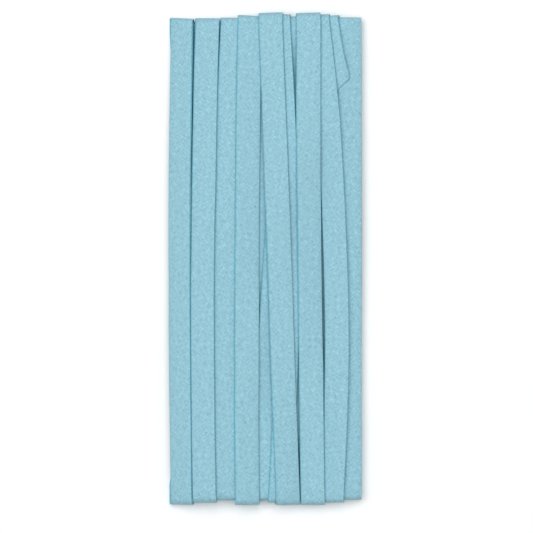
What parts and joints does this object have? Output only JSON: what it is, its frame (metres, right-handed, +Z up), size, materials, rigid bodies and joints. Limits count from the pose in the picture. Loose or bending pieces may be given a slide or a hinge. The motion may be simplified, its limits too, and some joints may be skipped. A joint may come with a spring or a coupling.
{
  "type": "hank of bias tape",
  "caption": "Flat wound hank of narrow double-fold bias tape in pale blue cloth, with one loose tail end on its front.",
  "frame": {"origin": "centre of the bounding box's bottom, on the surface that the hank lies on", "axes": "+Z up out of the surface, +Y along the hank towards the end that its loose tail is near, +X across it"},
  "size_m": [0.0496, 0.127, 0.0101],
  "materials": {
    "cloth": "matt pale blue plain-weave polyester and cotton, cut on the bias and pressed"
  },
  "bodies": {
    "root": {"tape": "cloth"}
  },
  "joints": []
}
